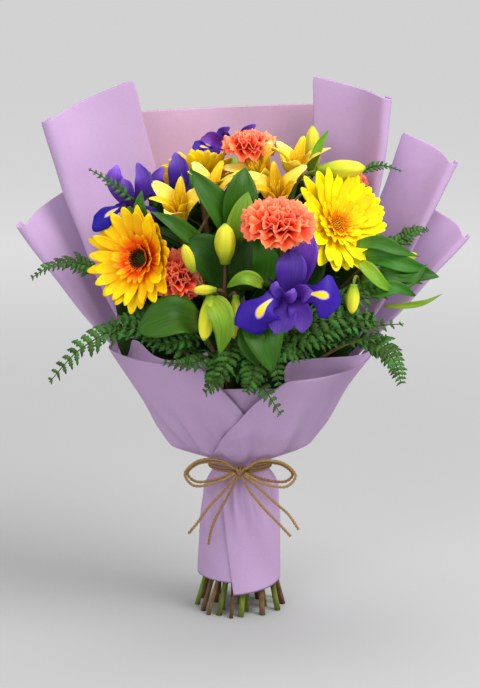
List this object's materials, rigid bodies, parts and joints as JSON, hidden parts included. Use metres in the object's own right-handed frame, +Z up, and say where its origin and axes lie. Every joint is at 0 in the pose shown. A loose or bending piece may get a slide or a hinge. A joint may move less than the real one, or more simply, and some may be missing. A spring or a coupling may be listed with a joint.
{
  "type": "mixed flower bouquet with paper wrapper",
  "caption": "Hand-tied mixed flower bouquet in folded lilac paper, tied with a twine bow and standing on its cut stems.",
  "frame": {"origin": "middle of the cut end of the central stem, on the surface the bouquet stands on", "axes": "+Z up along the central stem, -Y towards the front where the bow is, +X to the right seen from the front"},
  "size_m": [0.4509, 0.2673, 0.535],
  "materials": {
    "lilac_paper": "matte",
    "pink_lilac_paper": "matte",
    "jute_twine": "matte",
    "green_stem": "satin",
    "lemon_petal": "matte",
    "golden_petal": "matte",
    "coral_petal": "matte",
    "violet_petal": "matte",
    "cream_petal": "matte",
    "leaf": "satin",
    "fern": "matte"
  },
  "bodies": {
    "root": {"alstroemeria_front_stem": "green_stem", "alstroemeria_left_inner_bloom": "cream_petal", "alstroemeria_left_outer_bloom": "cream_petal", "alstroemeria_left_stem": "green_stem", "alstroemeria_right_stem": "green_stem", "alstroemeria_top_open_bloom": "cream_petal", "alstroemeria_top_stem": "green_stem", "alstroemeria_top_tall_bloom": "cream_petal", "carnation_centre_bloom": "coral_petal", "carnation_centre_stem": "green_stem", "carnation_left_bloom": "coral_petal", "carnation_left_stem": "green_stem", "carnation_right_bloom": "coral_petal", "carnation_right_stem": "green_stem", "carnation_top_bloom": "coral_petal", "carnation_top_stem": "green_stem", "fern_front": "fern", "fern_left": "fern", "fern_low_left": "fern", "fern_low_right": "fern", "fern_right": "fern", "foliage_centre": "leaf", "foliage_front": "leaf", "foliage_left": "leaf", "foliage_right": "leaf", "gerbera_left_bloom": "golden_petal", "gerbera_left_stem": "green_stem", "gerbera_right_bloom": "lemon_petal", "gerbera_right_stem": "green_stem", "gerbera_top_bloom": "golden_petal", "gerbera_top_stem": "green_stem", "iris_back_bloom": "violet_petal", "iris_back_left_bloom": "violet_petal", "iris_back_left_stem": "green_stem", "iris_back_stem": "green_stem", "iris_centre_bloom": "violet_petal", "iris_centre_stem": "green_stem", "iris_left_bloom": "violet_petal", "iris_left_stem": "green_stem", "paper_back": "pink_lilac_paper", "paper_back_left": "lilac_paper", "paper_back_right": "lilac_paper", "paper_front_left": "lilac_paper", "paper_front_right": "lilac_paper", "paper_inner": "lilac_paper", "paper_low_right": "lilac_paper", "paper_side_left": "lilac_paper", "paper_side_right": "lilac_paper", "twine_band": "jute_twine", "twine_loop_left": "jute_twine", "twine_loop_right": "jute_twine", "twine_tail_left_inner": "jute_twine", "twine_tail_left_outer": "jute_twine", "twine_tail_right_inner": "jute_twine", "twine_tail_right_outer": "jute_twine"}
  },
  "joints": []
}
